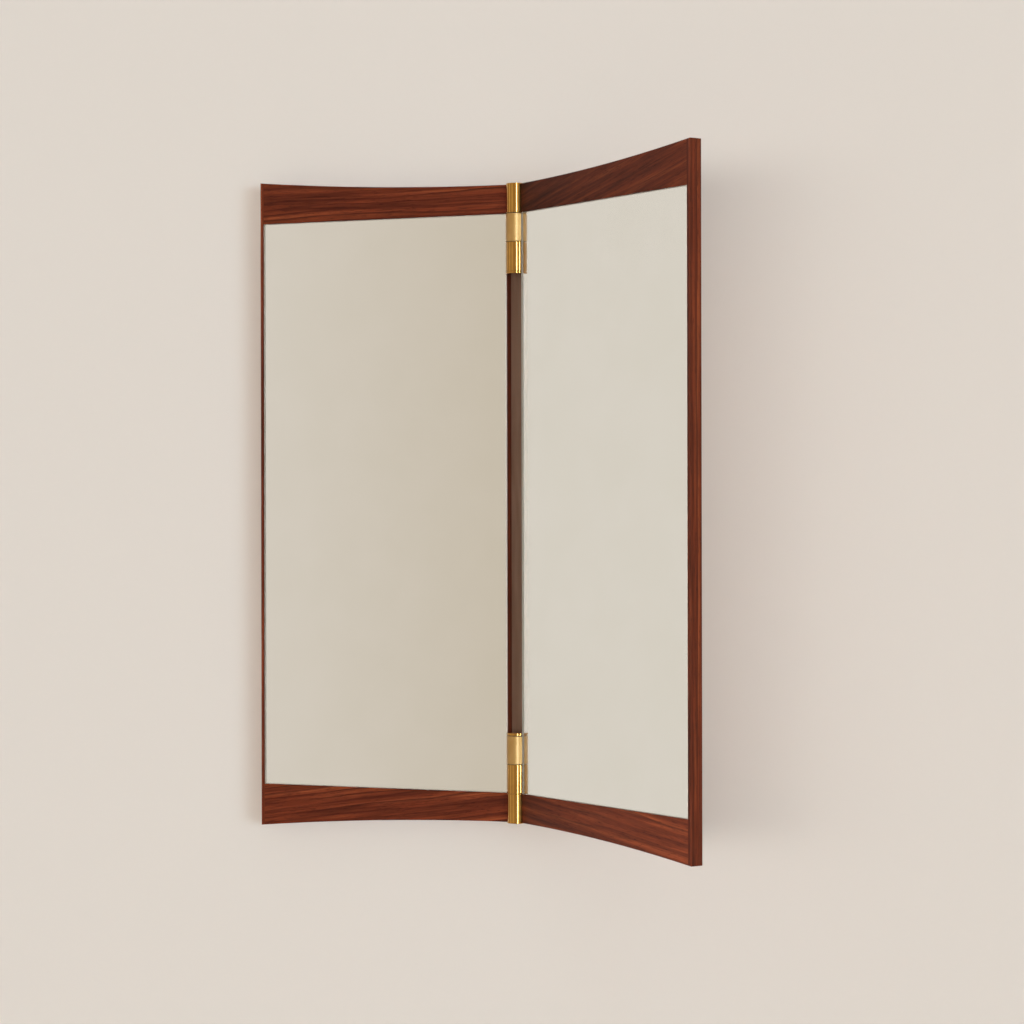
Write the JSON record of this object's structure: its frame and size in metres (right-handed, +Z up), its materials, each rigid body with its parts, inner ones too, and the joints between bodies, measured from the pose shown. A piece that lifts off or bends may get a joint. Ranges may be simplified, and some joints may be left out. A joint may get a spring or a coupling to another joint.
{
  "type": "vanity mirror",
  "caption": "Wall-hung folding vanity mirror: a fixed walnut leaf and a hinged walnut wing, each with a tall flush mirror, joined by brass barrel hinges.",
  "frame": {"origin": "midway between the entry holes of the two keyhole hangers, on the back face of the fixed leaf", "axes": "+Z up, +X to the right as seen by someone in front, +Y into the wall; the mirrors face -Y"},
  "size_m": [0.5503, 0.1955, 0.7],
  "materials": {
    "walnut": "oiled reddish walnut",
    "mirror_glass": "silvered float glass, polished edges",
    "foam_tape": "closed-cell foam tape",
    "foam_pad": "closed-cell foam",
    "plywood": "birch plywood, white lacquer",
    "stained_plywood": "thin plywood, brown stain",
    "beech": "fluted beech",
    "bumper_rubber": "moulded rubber",
    "screw_brass": "bright turned brass",
    "polished_brass": "polished",
    "satin_brass": "fine brushed satin",
    "pin_steel": "ground bright steel",
    "washer_nylon": "moulded nylon",
    "zinc_steel": "zinc-plated steel"
  },
  "bodies": {
    "fixed_leaf": {"fixed_top_rail": "walnut", "fixed_bottom_rail": "walnut", "fixed_outer_stile": "walnut", "fixed_hinge_stile": "walnut", "fixed_mirror_glass": "mirror_glass", "fixed_mirror_tape": "foam_tape", "fixed_glass_pads": "foam_pad", "fixed_back_panel": "plywood", "fixed_frame_dowels": "beech", "fixed_bumpers": "bumper_rubber", "fixed_panel_screws": "screw_brass", "fixed_tang_screws": "screw_brass", "top_end_sleeve": "polished_brass", "top_fixed_knuckle": "polished_brass", "top_hinge_pin": "pin_steel", "top_end_cap": "polished_brass", "top_thrust_washers": "washer_nylon", "bottom_end_sleeve": "polished_brass", "bottom_fixed_knuckle": "polished_brass", "bottom_hinge_pin": "pin_steel", "bottom_end_cap": "polished_brass", "bottom_thrust_washers": "washer_nylon", "inner_hanger_plate": "zinc_steel", "outer_hanger_plate": "zinc_steel", "hanger_screws": "zinc_steel", "gap_strip": "stained_plywood"},
    "wing": {"wing_top_rail": "walnut", "wing_bottom_rail": "walnut", "wing_outer_stile": "walnut", "wing_hinge_stile": "walnut", "wing_mirror_glass": "mirror_glass", "wing_mirror_tape": "foam_tape", "wing_glass_pads": "foam_pad", "wing_back_panel": "plywood", "wing_frame_dowels": "beech", "wing_bumpers": "bumper_rubber", "wing_panel_screws": "screw_brass", "wing_tang_screws": "screw_brass", "top_wing_knuckle": "satin_brass", "bottom_wing_knuckle": "satin_brass"}
  },
  "joints": [
    {"name": "wing_swing", "type": "hinge", "parent": "fixed_leaf", "child": "wing", "pos_m": [0.1559, -0.015, -0.19], "axis": [0, 0, -1], "range_deg": [-35, 130]}
  ]
}
